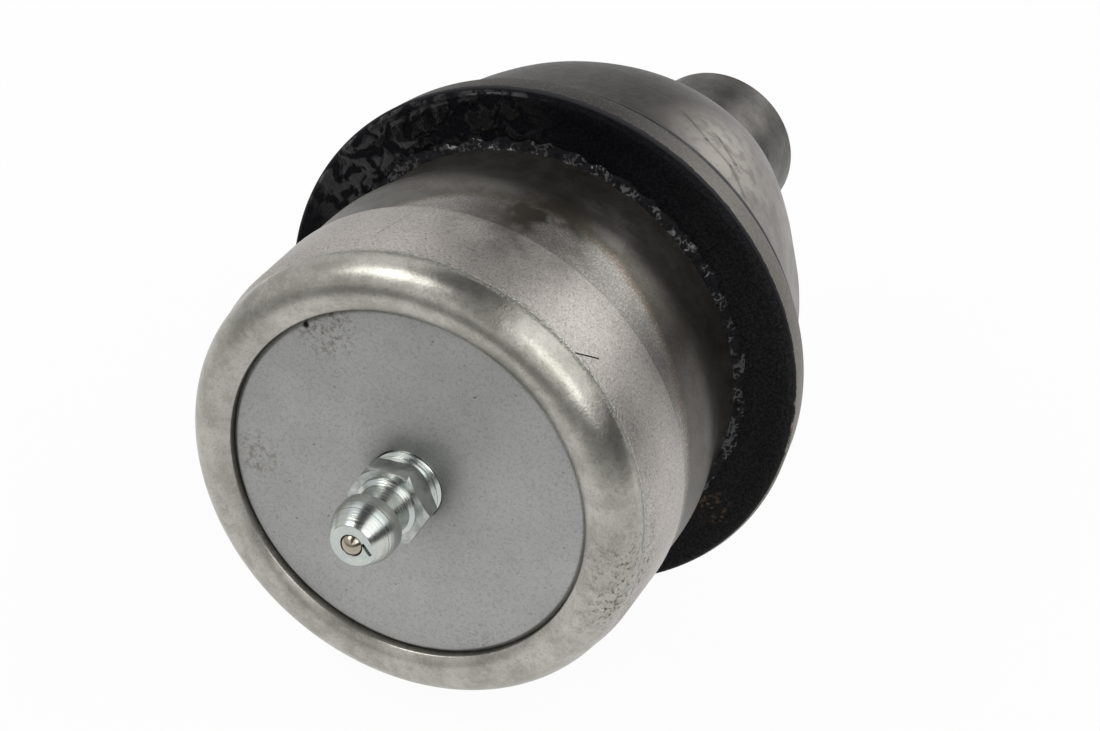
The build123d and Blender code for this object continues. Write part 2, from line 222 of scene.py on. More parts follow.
# floor and light
studio = {
    "floorHeight": -28.25,                 # mm
    "floorSize": 4.0,
    "paperTone": 0.86,
    "darkTone": 0.10,
    "paperRight": (0.14, 0.30),            # the pale paper ends here, and a dark room lies beyond
    "paperFront": (0.075, 0.13),
    "frontDepth": 0.8,                     # how dark the front end gets
    "paperShare": (0.95, 0.05),            # white seen by the camera: on the paper, and what is added beyond it
    "mirrorShare": 0.75,                   # white seen in reflections
    "mirrorLoss": 0.85,
    "room": 0.06,
    "strips": [                            # soft boxes along the joint: first and last angle, soft edge, strength
        (22.0, 68.0, 5.0, 1.5),
        (106.0, 136.0, 5.0, 1.0),
        (136.0, 178.0, 8.0, 0.65),
    ],
    "fadingStrip": 1,                      # this one fades towards the stud
    "fadeFrom": (0.55, 0.85),
    "backFade": 0.55,
    "lampSize": 0.3,
    "lamps": [
        ("keyLamp", (-0.30, -0.30, 0.55), 1.0),
        ("sideLamp", (0.45, -0.35, 0.35), 0.5),
    ],
}


def deselectAll():
    if bpy.context.mode != "OBJECT":
        bpy.ops.object.mode_set(mode="OBJECT")
    bpy.ops.object.select_all(action="DESELECT")


def lamp(name, place, power, size):  # aimed at the origin
    light = bpy.data.lights.new(name, "AREA")
    light.size = size
    light.energy = power
    holder = bpy.data.objects.new(name, light)
    bpy.context.scene.collection.objects.link(holder)
    holder.location = place
    holder.rotation_euler = (-Vector(place)).to_track_quat("-Z", "Y").to_euler()


def paperMaterial(s):
    paper = bpy.data.materials.new("paper")
    paper.use_nodes = True
    tree = paper.node_tree
    matt = tree.nodes["Principled BSDF"]
    matt.inputs["Roughness"].default_value = 0.9
    matt.inputs["Specular IOR Level"].default_value = 0.0
    glow = tree.nodes.new("ShaderNodeEmission")
    glow.inputs["Color"].default_value = (1, 1, 1, 1)
    seen = tree.nodes.new("ShaderNodeLightPath")
    where = tree.nodes.new("ShaderNodeNewGeometry")
    split = tree.nodes.new("ShaderNodeSeparateXYZ")
    tree.links.new(where.outputs["Position"], split.inputs[0])
    toRight = Flow(tree, split.outputs[0]).ramp(*s["paperRight"])
    toFront = (Flow(tree, split.outputs[1]) * -1.0).ramp(*s["paperFront"])
    beyond = toRight.sum("MAXIMUM", toFront * s["frontDepth"])
    shade = tree.nodes.new("ShaderNodeMix")
    shade.data_type = "RGBA"
    tree.links.new(beyond.socket, shade.inputs[0])
    shade.inputs[6].default_value = (s["paperTone"],) * 3 + (1,)
    shade.inputs[7].default_value = (s["darkTone"],) * 3 + (1,)
    tree.links.new(shade.outputs[2], matt.inputs["Base Color"])
    camera, mirror = (Flow(tree, seen.outputs[kind]) for kind in ("Is Camera Ray", "Is Glossy Ray"))
    base, added = s["paperShare"]
    share = camera * (base + beyond * added) + mirror * s["mirrorShare"]
    tree.links.new((camera + mirror * (1.0 - beyond * s["mirrorLoss"])).socket, glow.inputs["Strength"])
    both = tree.nodes.new("ShaderNodeMixShader")
    tree.links.new(share.socket, both.inputs[0])
    tree.links.new(matt.outputs[0], both.inputs[1])
    tree.links.new(glow.outputs[0], both.inputs[2])
    tree.links.new(both.outputs[0], tree.nodes["Material Output"].inputs["Surface"])
    return paper


def layFloor(s):
    deselectAll()
    bpy.ops.mesh.primitive_plane_add(size=s["floorSize"], location=(0, 0, s["floorHeight"] * mm))
    floor = bpy.context.object
    floor.name = "floor"
    floor.data.materials.append(paperMaterial(s))


def lightRoom(s):
    world = bpy.data.worlds.new("room")
    bpy.context.scene.world = world
    world.use_nodes = True
    tree = world.node_tree
    air = tree.nodes["Background"]
    air.inputs["Color"].default_value = (1, 1, 1, 1)
    aim = tree.nodes.new("ShaderNodeTexCoord")
    split = tree.nodes.new("ShaderNodeSeparateXYZ")
    tree.links.new(aim.outputs["Generated"], split.inputs[0])
    across, along, height = (Flow(tree, split.outputs[i]) for i in range(3))
    turn = height.sum("ARCTAN2", across) * (180.0 / pi)         # degrees round the joint's axis
    strength = s["room"]
    for i, (first, last, soft, power) in enumerate(s["strips"]):
        box = turn.band(first, last, soft) * power
        if i == s["fadingStrip"]:
            box = box * (1.0 - along.ramp(*s["fadeFrom"]) * s["backFade"])
        strength = box + strength
    rays = tree.nodes.new("ShaderNodeLightPath")
    seen = Flow(tree, rays.outputs["Is Camera Ray"])
    tree.links.new((strength * (1.0 - seen) + seen).socket, air.inputs["Strength"])
    for name, place, power in s["lamps"]:
        lamp(name, place, power, s["lampSize"])


layFloor(studio)
lightRoom(studio)
print("studio built")


# lathe and bench helpers
def arcPoints(start, middle, end, count):  # the arc through three points, without its start
    (ax, ay), (bx, by), (cx, cy) = start, middle, end
    d = 2 * (ax * (by - cy) + bx * (cy - ay) + cx * (ay - by))
    a2, b2, c2 = ax * ax + ay * ay, bx * bx + by * by, cx * cx + cy * cy
    ux = (a2 * (by - cy) + b2 * (cy - ay) + c2 * (ay - by)) / d
    uy = (a2 * (cx - bx) + b2 * (ax - cx) + c2 * (bx - ax)) / d
    size = hypot(ax - ux, ay - uy)
    first, mid, last = (atan2(y - uy, x - ux) for x, y in (start, middle, end))
    whole = (last - first) % (2 * pi)
    if (mid - first) % (2 * pi) > whole:
        whole -= 2 * pi
    turns = [first + whole * i / count for i in range(1, count + 1)]
    return [(ux + size * cos(t), uy + size * sin(t)) for t in turns]


def curvePoints(start, startHandle, endHandle, end, count):  # a Bezier curve, without its start
    points = []
    for i in range(1, count + 1):
        t = i / count
        k = ((1 - t) ** 3, 3 * t * (1 - t) ** 2, 3 * t * t * (1 - t), t ** 3)
        points.append(tuple(sum(w * p[j] for w, p in zip(k, (start, startHandle, endHandle, end))) for j in (0, 1)))
    return points


def drawn(name, outline):  # the outline as edges, left open in edit mode
    deselectAll()
    bpy.ops.mesh.primitive_plane_add(size=mm, location=(0, 0, 0))
    piece = bpy.context.object
    piece.name = name
    bpy.ops.object.mode_set(mode="EDIT")
    bpy.ops.mesh.select_all(action="SELECT")
    bpy.ops.mesh.merge(type="CENTER")
    last = (0.0, 0.0)
    for i, (radius, place) in enumerate(outline):
        step = ((radius - last[0]) * mm, (place - last[1]) * mm, 0)
        if i:
            bpy.ops.mesh.extrude_region_move(TRANSFORM_OT_translate={"value": step})
        else:
            bpy.ops.transform.translate(value=step)
        last = (radius, place)
    return piece


def closeSeams(gap=1e-6):  # in edit mode
    bpy.ops.mesh.select_all(action="SELECT")
    bpy.ops.mesh.remove_doubles(threshold=gap)
    bpy.ops.mesh.normals_make_consistent(inside=False)


def turned(name, outline, steps=180, closed=True, edge=0.0, crease=32):
    piece = drawn(name, outline + outline[:1] if closed else outline)
    bpy.ops.mesh.select_all(action="SELECT")
    bpy.ops.mesh.spin(steps=steps, angle=2 * pi, center=(0, 0, 0), axis=(0, 1, 0))
    closeSeams()
    bpy.ops.object.mode_set(mode="OBJECT")
    if edge:
        roundEdges(piece, edge)
    bpy.ops.object.shade_smooth_by_angle(angle=radians(crease))
    return piece


def wound(piece, pitch, turns, steps):  # the open profile screwed along the axis
    bpy.ops.object.mode_set(mode="OBJECT")
    winding = piece.modifiers.new("winding", "SCREW")
    winding.axis = "Y"
    winding.angle = 2 * pi
    winding.screw_offset = pitch * mm
    winding.iterations = turns
    winding.steps = winding.render_steps = steps
    bpy.ops.object.modifier_apply(modifier="winding")
    bpy.ops.object.mode_set(mode="EDIT")
    closeSeams()


def cutWith(piece, tool, operation):
    deselectAll()
    piece.select_set(True)
    bpy.context.view_layer.objects.active = piece
    cut = piece.modifiers.new("cut", "BOOLEAN")
    cut.operation = operation
    cut.object = tool
    cut.solver = "EXACT"
    bpy.ops.object.modifier_apply(modifier="cut")
    bpy.data.objects.remove(tool, do_unlink=True)


def pressIn(piece, centre, push, reach):  # soft dent, in mm
    deselectAll()
    piece.select_set(True)
    bpy.context.view_layer.objects.active = piece
    bpy.ops.object.mode_set(mode="EDIT")
    bpy.ops.mesh.select_all(action="DESELECT")
    bpy.ops.object.mode_set(mode="OBJECT")
    for vertex in piece.data.vertices:      # the middle quarter moves fully, the rest ever less out to the reach
        vertex.select = (vertex.co / mm - Vector(centre)).length < 0.25 * reach
    bpy.ops.object.mode_set(mode="EDIT")
    bpy.ops.transform.translate(value=tuple(Vector(push) * mm), use_proportional_edit=True,
                                proportional_edit_falloff="SMOOTH", proportional_size=reach * mm)
    bpy.ops.object.mode_set(mode="OBJECT")


def roundEdges(piece, width, segments=2, angle=25):
    rounding = piece.modifiers.new("rounding", "BEVEL")
    rounding.width = width * mm
    rounding.segments = segments
    rounding.limit_method = "ANGLE"
    rounding.angle_limit = radians(angle)
    bpy.context.view_layer.objects.active = piece
    bpy.ops.object.modifier_apply(modifier="rounding")


def finishPiece(piece, finish, body, slot, *nodes):
    piece.data.materials.clear()
    piece.data.materials.append(finish.material)
    if nodes:
        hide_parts(*nodes)
    if body:
        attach(piece, body)
    print(piece.name, len(piece.data.polygons), "faces")


# housing
housingSizes = {
    "boreRadius": 17.0,
    "coverBack": -4.5,
    "underLip": (19.25, -6.6707),   # the lip's back, over the cover's bevel
    "lipThickness": 0.6,
    "lipInner": (18.65, -8.14),
    "lipMiddle": (22.115, -8.247),
    "beadEdge": (23.325, -5.0),
    "landRadius": 23.8,
    "landStart": -3.6,
    "landEnd": 3.6,
    "neckRadius": 23.45,
    "neckStart": 3.95,
    "blendStart": 9.95,
    "blendEnd": 19.45,
    "waistRadius": 22.0,
    "flangeFront": 22.3,
    "flangeRadius": 28.2,
    "flangeBackRadius": 27.7,
    "flangeBack": 26.0,
    "flangeEdges": (0.12, 0.1),     # front and back chamfers
    "spigotRadius": 22.6,
    "grooveRadius": 21.8,
    "grooveStart": 27.1,
    "grooveEnd": 29.1,
    "spigotEnd": 30.5,
    "spigotChamfer": 0.5,
    "mouthLip": 1.2,
    "shoulderRadius": 15.2,
    "bearingBack": 27.8,
}


def housingOutline(s):
    rim, back, spigot, end = s["flangeRadius"], s["flangeBackRadius"], s["spigotRadius"], s["spigotEnd"]
    front, rear = s["flangeFront"], s["flangeBack"]
    frontEdge, backEdge = s["flangeEdges"]
    outline = [
        (s["boreRadius"], s["coverBack"]),
        (s["underLip"][0], s["coverBack"]),
        s["underLip"],
        (s["lipInner"][0], s["underLip"][1] - s["lipThickness"]),
        s["lipInner"],
    ]
    outline += arcPoints(s["lipInner"], s["lipMiddle"], s["beadEdge"], 48)
    outline += [
        (s["landRadius"], s["landStart"]),
        (s["landRadius"], s["landEnd"]),
        (s["neckRadius"], s["neckStart"]),
        (s["neckRadius"], s["blendStart"]),
    ]
    reach = (s["blendEnd"] - s["blendStart"]) / 2
    outline += curvePoints(outline[-1], (s["neckRadius"], s["blendStart"] + reach),
                           (s["waistRadius"], s["blendEnd"] - reach), (s["waistRadius"], s["blendEnd"]), 16)
    outline += [
        (s["waistRadius"], front),
        (rim - frontEdge, front),
        (rim, front + frontEdge),
        (back, rear - backEdge),
        (back - backEdge, rear),
        (spigot, rear),
        (spigot, s["grooveStart"]),
        (s["grooveRadius"], s["grooveStart"]),
        (s["grooveRadius"], s["grooveEnd"]),
        (spigot, s["grooveEnd"]),
        (spigot, end - s["spigotChamfer"]),
        (spigot - s["spigotChamfer"], end),
        (s["shoulderRadius"] + s["mouthLip"], end),
        (s["shoulderRadius"], s["bearingBack"]),
        (s["boreRadius"], s["bearingBack"]),
    ]
    return outline


housingTones = {
    "bead": ((0.40, 0.39, 0.35), (0.51, 0.495, 0.45)),
    "land": ((0.46, 0.428, 0.403), (0.54, 0.502, 0.473)),
    "neck": ((0.32, 0.30, 0.28), (0.38, 0.36, 0.335)),
    "shadow": ((0.11, 0.103, 0.09), (0.20, 0.188, 0.168)),      # the dark neck, from its start to the flange
    "shadowPale": (0.2, 0.19, 0.17),
    "brown": (0.07, 0.058, 0.042),
    "heat": (0.19, 0.13, 0.075),
    "rim": ((0.078, 0.076, 0.073), (0.26, 0.245, 0.225)),
    "pits": (0.14, 0.13, 0.115),
    "pale": (0.72, 0.68, 0.645),
    "smudge": (0.19, 0.18, 0.145),
    "edge": (0.13, 0.12, 0.10),
    "worn": (0.095, 0.088, 0.06),
    "soot": (0.085, 0.075, 0.06),
    "paintedEdgeHighlight": (0.90, 0.89, 0.84),
    "glint": (0.85, 0.84, 0.80),
    "nick": (0.03, 0.03, 0.03),
    "paint": (0.008, 0.008, 0.011),
}
housingMarks = {
    "paintedNeckHighlight": ((11.5, 14.5, 19.7), 3.2, 0.7),        # a painted highlight patch on the dark neck
    "worn": [((22.6, -6.3, -3.6), 3.8, 0.7, 1.0), ((21.5, -7.0, -9.0), 3.0, 0.7, 1.0)],
    "soot": [
        ((6.0, 5.5, 23.0), 6.5, 0.8, 1.0),
        ((7.5, 10.5, 22.3), 4.5, 0.8, 1.0),
        ((21.5, 10.5, 9.0), 7.0, 0.7, 1.0),
    ],
    "nick": ((16.24, -4.99, 16.71), (17.83, -3.52, 15.75), 0.08),
    "glint": ((16.30, -4.85, 16.75), (17.70, -3.55, 15.90), 0.05),
    "hair": ((-5.0, -3.0, 23.3), (-3.6, 2.0, 23.5), 0.05),
    "heatStart": (9.0, 9.4),                        # the heat tint's line: x of its crest, and its place there
    "heatBow": 0.022,
}


def housingFinish(tones, marks):
    f = Finish("turnedSteel", Metallic=1.0)
    grain = f.noise(3.4, 4.0, 0.7)
    fine = f.noise(4.6, 2.0, 0.6)
    pale = f.noise(4.2, 3.0, 0.65, along=f.stretched(1.0, 1.3, 1.1))
    cloud = f.noise(0.15, 4.0, 0.6)
    clouds = cloud.ramp(0.35, 0.65)
    rings = f.noise(1.0, 3.0, 0.6, along=f.stretched(0.06, 6.0, 0.06))

    # where each turned part lies
    bead = 1.0 - f.y.ramp(-5.06, -4.96)
    land = f.y.band(-5.0, 3.75, 0.06)
    neck = f.y.ramp(3.6, 4.0) * (1.0 - f.y.ramp(22.25, 22.3))
    rim = f.y.ramp(22.29, 22.31)
    paintedSideLight = f.paintedSideLight(9.0)
    crest, start = marks["heatStart"]
    offset = f.x - crest
    sag = f.y - start + offset * offset * marks["heatBow"] - f.noise(0.35, 3.0) * 0.8
    heat = sag.band(-0.5, 0.5, 0.45)
    dark = sag.ramp(-0.5, 0.8)

    # neck: clean, then heat-tinted, then dark up to the flange, with a painted highlight patch on the dark part
    shadow = f.mix(f.y.ramp(12.0, 19.0), *tones["shadow"])
    # the dark neck turns paler towards +X: painted side light
    shadow = f.mix(paintedSideLight, f.mix(0.45, shadow, tones["shadowPale"]), shadow)
    neckColour = f.mix(dark * (0.93 - f.spot(*marks["paintedNeckHighlight"]) * 0.85), f.mix(clouds, *tones["neck"]), shadow)
    brown = f.noise(0.42, 4.0, 0.65).ramp(0.44, 0.60) * dark
    neckColour = f.mix(brown * 0.4, neckColour, tones["brown"])
    neckColour = f.mix(heat * 0.5, neckColour, tones["heat"])

    colour = f.mix(land, f.mix(clouds, *tones["bead"]), f.mix(clouds, *tones["land"]))
    colour = f.mix(neck, colour, neckColour)
    # the flange side goes from its dark tone to its pale tone towards +X: painted side light
    colour = f.mix(rim, colour, f.mix(paintedSideLight, *tones["rim"]))
    pits = grain.ramp(0.5, 0.72) * 0.32 + fine.ramp(0.50, 0.66) * (0.42 - bead * 0.24)
    colour = f.mix(pits.clamped(), colour, tones["pits"])
    paleShare = 0.50 - rim * 0.35 - neck * dark * 0.42 - bead * 0.42
    colour = f.mix(pale.ramp(0.50, 0.64) * paleShare, colour, tones["pale"])
    smudge = f.noise(0.45, 5.0, 0.7).ramp(0.44, 0.60) * bead
    colour = f.mix(smudge * 0.30, colour, tones["smudge"])
    edge = f.y.band(-5.9, -4.95, 0.25) * grain.ramp(0.42, 0.62)     # rough skin beside the sharp edge
    colour = f.mix(edge * 0.4, colour, tones["edge"])
    speckle = f.noise(1.9, 5.0, 0.8).ramp(0.50, 0.64)
    colour = f.mix((speckle * f.spots(marks["worn"]) * 0.95).clamped(), colour, tones["worn"])
    cloudy = f.noise(0.20, 4.0, 0.55).ramp(0.32, 0.62)
    colour = f.mix((f.spots(marks["soot"]) * cloudy * 0.72).clamped(), colour, tones["soot"])
    # painted highlight: a thin bright line along the bead's sharp edge, broken up by grain
    paintedEdgeHighlight = f.y.band(-5.28, -5.0, 0.05) * fine.ramp(0.35, 0.6)
    colour = f.mix(paintedEdgeHighlight * 0.9, colour, tones["paintedEdgeHighlight"])
    nick, glint, hair = (f.scratch(*marks[name]) for name in ("nick", "glint", "hair"))
    colour = f.mix(glint * 0.7, colour, tones["glint"])
    colour = f.mix((nick + hair * 0.4).clamped(), colour, tones["nick"])
    run = f.y + f.noise(0.9, 4.0, 0.7) * 0.8 - f.z * 0.02           # black paint runs a little over the flange
    paint = f.y.ramp(22.2, 22.28) * (1.0 - run.ramp(22.75, 22.85))
    colour = f.mix(paint, colour, tones["paint"])
    f.set(Base_Color=colour, Metallic=1.0 - paint)

    gloss = 0.34 + land * 0.05 - bead * 0.105 + cloud * 0.08 + rings * 0.05 + rim * 0.20 + paint * 0.2
    f.set(Roughness=gloss.clamped())
    wave = f.noise(0.5, 2.0, 0.4)
    height = grain * 0.45 + fine * 0.45 + rings * (land + neck) * 0.4 + wave * bead * 1.2 + edge * 0.8 - nick * 3.0
    f.relief(height, 0.03, 0.8)
    return f


housing = turned("housingBody", housingOutline(housingSizes), steps=220, edge=0.1)
finishPiece(housing, housingFinish(housingTones, housingMarks), "housing", "housing_steel", "housing")


# cover plate
coverSizes = {
    "face": -7.7,
    "back": -4.5,
    "radius": 19.2,
    "bevel": 1.05,
    "hole": 3.75,
    "rings": (8.0, 13.0),           # rows of faces on the flat
    "hollow": (10.0, 0.5),          # radius and depth, at the back
}
coverTones = {
    "steel": ((0.40, 0.40, 0.388), (0.455, 0.455, 0.443)),
    "specks": (0.20, 0.20, 0.19),
    "pits": (0.10, 0.095, 0.085),
    "brown": (0.14, 0.12, 0.075),
    "notch": (0.02, 0.02, 0.02),
}
coverMarks = {
    "brown": [
        ((-8.2, -7.7, 15.6), 3.0, 0.5, 1.0),
        ((-15.9, -7.7, -0.5), 2.2, 0.5, 0.8),
        ((7.0, -7.7, -16.8), 2.2, 0.5, 0.4),
    ],
    "notch": ((-10.0, -7.7, 15.1), 0.35),
}


def coverFinish(tones, marks):
    f = Finish("coverSteel", Metallic=1.0)
    speck = f.noise(2.6, 5.0, 0.7)
    fine = f.noise(4.2, 3.0, 0.65)
    cloud = f.noise(0.13, 4.0, 0.6)
    colour = f.mix(cloud.ramp(0.3, 0.7), *tones["steel"])
    specks = speck.ramp(0.5, 0.75) * 0.35 + fine.ramp(0.48, 0.66) * 0.3
    colour = f.mix(specks.clamped(), colour, tones["specks"])
    colour = f.mix(f.noise(1.7, 2.0, 0.5).ramp(0.70, 0.76) * 0.6, colour, tones["pits"])
    brown = f.noise(1.3, 5.0, 0.75).ramp(0.47, 0.60) * f.spots(marks["brown"])
    colour = f.mix((brown * 0.6).clamped(), colour, tones["brown"])
    colour = f.mix(f.spot(*marks["notch"]), colour, tones["notch"])
    f.set(Base_Color=colour)
    f.set(Roughness=(0.48 + cloud * 0.1 + speck * 0.06).clamped())
    f.relief(speck * 0.6 + fine * 0.4, 0.03, 0.55)
    return f


def coverOutline(s):
    hollow, depth = s["hollow"]
    floor = s["back"] - depth
    return [(s["hole"], s["face"])] + [(radius, s["face"]) for radius in s["rings"]] + [
        (s["radius"] - s["bevel"], s["face"]),
        (s["radius"], s["face"] + s["bevel"]),
        (s["radius"], s["back"]),
        (hollow + depth, s["back"]),
        (hollow, floor),
        (s["hole"], floor),
    ]


cover = turned("coverDisc", coverOutline(coverSizes), edge=0.12)
finishPiece(cover, coverFinish(coverTones, coverMarks), "housing", "cover_steel", "cover_plate")


# flange seal and the adhesive in its corner
sealSizes = {
    "inner": 22.1,
    "middle": 24.2,
    "band": 26.2,                   # the raised band starts here
    "slope": 0.25,
    "rim": 28.0,
    "seat": 22.29,
    "face": 21.72,
    "rimFace": 21.62,
    "chamfer": 0.35,
}


def sealOutline(s):
    rim, raised = s["rim"], s["rimFace"]
    return [
        (s["inner"], s["seat"]),
        (rim, s["seat"]),
        (rim, raised + s["chamfer"]),
        (rim - s["chamfer"], raised),
        (s["band"] + s["slope"], raised),
        (s["band"], s["face"]),
        (s["middle"], s["face"]),
        (s["inner"], s["face"]),
    ]


sealTones = {
    "deep": ((0.0012, 0.0014, 0.002), (0.006, 0.006, 0.007)),       # painted side light: darker towards -X, paler towards +X
    "dust": ((0.006, 0.006, 0.008), (0.020, 0.020, 0.021)),
    "tan": (0.16, 0.10, 0.06),
    "adhesive": ((0.003, 0.003, 0.004), (0.008, 0.008, 0.010)),
}
sealMarks = {
    "wet": ((-13.0, 21.8, 20.0), 13.0, 0.35),
    "tan": ((20.0, 21.6, -14.2), 1.7),
}


def sealFinish(tones, marks):
    f = Finish("blackRubber", Metallic=0.0, Specular_IOR_Level=0.06)
    grain = f.noise(3.6, 4.0, 0.7)
    sealPaintedLight = f.paintedSideLight(20.0)
    smear = f.noise(0.55, 2.0, 0.5, warp=0.7)
    drops = f.noise(1.3, 2.0, 0.5, warp=0.5)
    wet = f.spot(*marks["wet"]) * smear.ramp(0.44, 0.56)
    # the black and its dust both turn paler towards +X: painted side light
    colour = f.mix(grain.ramp(0.38, 0.66), f.mix(sealPaintedLight, *tones["deep"]), f.mix(sealPaintedLight, *tones["dust"]))
    tan = f.noise(1.4, 4.0, 0.7).ramp(0.5, 0.6) * f.spot(*marks["tan"])
    f.set(Base_Color=f.mix(tan * 0.5, colour, tones["tan"]))
    f.set(Roughness=(0.60 - wet * 0.50 + grain * 0.06).clamped(), Coat_Weight=wet * 0.55)
    f.relief(smear.ramp(0.35, 0.65) * wet * 1.4 + drops * wet * 0.7 + grain * 0.08, 0.30, 0.9)
    return f


def adhesiveFinish(tones):
    f = Finish("wetAdhesive", Metallic=0.0, Specular_IOR_Level=0.10, Coat_Roughness=0.04)
    lumps = f.noise(1.3, 2.0, 0.5, warp=0.5)
    fine = f.noise(3.0, 2.0, 0.5)
    middle = lumps - 0.5
    ridge = (1.0 - middle * middle * 170.0).clamped()               # thin bright lines along the lumps
    shine = ridge * f.noise(0.55, 3.0, 0.6).ramp(0.46, 0.54)
    f.set(Base_Color=f.mix(lumps.ramp(0.4, 0.7), *tones["adhesive"]))
    f.set(Roughness=(0.42 + fine * 0.2 - shine * 0.25).clamped(), Coat_Weight=shine)
    f.relief(lumps + fine * 0.15, 0.16, 0.9)
    return f


rubber = sealFinish(sealTones, sealMarks)
seal = turned("flangeSealRing", sealOutline(sealSizes), edge=0.08)
finishPiece(seal, rubber, "housing", "seal_rubber", "flange_seal")

adhesiveSizes = {
    "corner": (21.95, 21.85),   # where the neck meets the seal
    "up": 0.7,                  # along the neck
    "out": 1.3,                 # over the seal
    "crest": (0.5, 0.42),       # its highest point, as shares of the two above
    "lump": 1.4,                # size of the lumps, mm
    "rise": 0.55,
}


def adhesiveOutline(s):
    radius, place = s["corner"]
    tip, toe = (radius, place - s["up"]), (radius + s["out"], place)
    across, along = s["crest"]
    return [s["corner"], tip] + arcPoints(tip, (radius + across * s["out"], place - along * s["up"]), toe, 20)


def lumpy(piece, size, strength):
    lumps = bpy.data.textures.new("adhesiveLumps", "CLOUDS")
    lumps.noise_scale = size * mm
    lumps.noise_depth = 1
    swell = piece.modifiers.new("swell", "DISPLACE")
    swell.texture = lumps
    swell.texture_coords = "LOCAL"
    swell.strength = strength * mm
    swell.mid_level = 0.5
    bpy.context.view_layer.objects.active = piece
    bpy.ops.object.modifier_apply(modifier="swell")
    bpy.data.textures.remove(lumps)


adhesive = turned("cornerAdhesive", adhesiveOutline(adhesiveSizes), steps=720, crease=180)
lumpy(adhesive, adhesiveSizes["lump"], adhesiveSizes["rise"])
finishPiece(adhesive, adhesiveFinish(sealTones), "housing", "seal_rubber")


# dust boot
bootSizes = {
    "baseStart": (25.8, 26.1),
    "baseEnd": (25.8, 29.8),
    "baseInner": 22.8,
    "shoulder": (22.0, 44.7),
    "endStart": (12.5, 49.1),
    "endStop": (12.5, 53.3),
    "bore": 10.6,
    "wall": 2.2,
    "flank": [(0.0, 5.8), (3.0, -4.0)],             # curve handles, from the base and from the shoulder
    "crown": [(-2.1, 2.8), (4.2, 0.0)],             # from the shoulder and from the small end
    "innerShoulderDrop": 1.1,
    "innerCrown": [(4.9, 0.0), (-1.5, 2.4)],        # from the bore and from the shoulder
    "innerFlank": [(2.4, -4.0), (0.0, 5.2)],        # from the shoulder and from the base
    "dents": [                                      # centre, push, reach
        ((22.5, 40.0, 2.0), (-2.3, 0.0, -0.3), 16.0),
        ((-6.0, 37.0, 24.0), (0.15, 0.0, -0.6), 16.0),
    ],
    "creases": [                                    # fine folds, drawn as painted shade with a groove in the bump, from and to
        ((11.04, 33.7, 23.06), (14.2, 32.2, 21.4)),
        ((14.2, 32.2, 21.4), (17.0, 31.7, 19.3)),
        ((17.0, 31.7, 19.3), (19.2, 30.1, 17.2)),
        ((12.4, 34.8, 22.1), (14.8, 34.0, 20.7)),
        ((14.8, 34.0, 20.7), (17.2, 32.7, 19.2)),
    ],
    "creaseWidth": 0.20,
    "bendStart": 30.0,                              # two places along the axis, mm
    "bendEnd": 48.8,
}


def shifted(point, move):
    return point[0] + move[0], point[1] + move[1]


def bootOutline(s):
    base, shoulder, end, wall = s["baseEnd"], s["shoulder"], s["endStart"], s["wall"]
    outline = [(s["baseInner"], s["baseStart"][1]), s["baseStart"], base]
    outline += curvePoints(base, shifted(base, s["flank"][0]), shifted(shoulder, s["flank"][1]), shoulder, 14)
    outline += curvePoints(shoulder, shifted(shoulder, s["crown"][0]), shifted(end, s["crown"][1]), end, 12)
    roof = (s["bore"], end[1] - wall)
    outline += [s["endStop"], (s["bore"], s["endStop"][1]), roof]
    inner = (shoulder[0] - wall, shoulder[1] - s["innerShoulderDrop"])
    foot = (base[0] - wall, base[1])
    outline += curvePoints(roof, shifted(roof, s["innerCrown"][0]), shifted(inner, s["innerCrown"][1]), inner, 8)
    outline += curvePoints(inner, shifted(inner, s["innerFlank"][0]), shifted(foot, s["innerFlank"][1]), foot, 8)
    return outline + [(s["baseInner"], base[1])]


bootTones = {
    "dark": ((0.032, 0.030, 0.028), (0.052, 0.049, 0.045)),         # painted shade, towards -X
    "light": ((0.20, 0.185, 0.17), (0.34, 0.32, 0.30)),             # painted light, towards +X
    "dust": (0.12, 0.115, 0.11),
    "pale": (0.58, 0.53, 0.48),
    "blotch": (0.14, 0.125, 0.115),
    "crease": (0.06, 0.055, 0.05),
}
# pale: a painted highlight patch on the boot's flank towards +X
bootMarks = {"pale": ((16.0, 33.0, 20.0), 5.0, 0.7)}


def bootFinish(tones, marks, s):
    f = Finish("greyBoot", Metallic=0.35)
    grain = f.noise(2.4, 4.0, 0.7)
    cloud = f.noise(0.16, 4.0, 0.6)
    dark = f.mix(cloud.ramp(0.3, 0.7), *tones["dark"])
    # painted side light: dark towards -X, light towards +X
    colour = f.mix(f.paintedSideLight(9.0), dark, f.mix(cloud.ramp(0.35, 0.65), *tones["light"]))
    colour = f.mix(grain.ramp(0.5, 0.8) * 0.3, colour, tones["dust"])
    blotch = f.noise(0.7, 4.0, 0.6)
    # a painted highlight patch, where the blotches also show more
    pale = f.spot(*marks["pale"])
    colour = f.mix(pale * 0.5, colour, tones["pale"])
    colour = f.mix(blotch.ramp(0.45, 0.62) * (0.2 + pale * 0.35), colour, tones["blotch"])
    # the folds: dark lines of painted shade, and grooves in the bump
    crease = sum(f.scratch(start, end, s["creaseWidth"]) for start, end in s["creases"])
    f.set(Base_Color=f.mix((crease * 0.35).clamped(), colour, tones["crease"]))
    f.set(Roughness=(0.36 + cloud * 0.15).clamped())
    f.relief(grain * 0.5 + blotch * 0.8 - crease * 1.5, 0.10, 0.7)
    return f


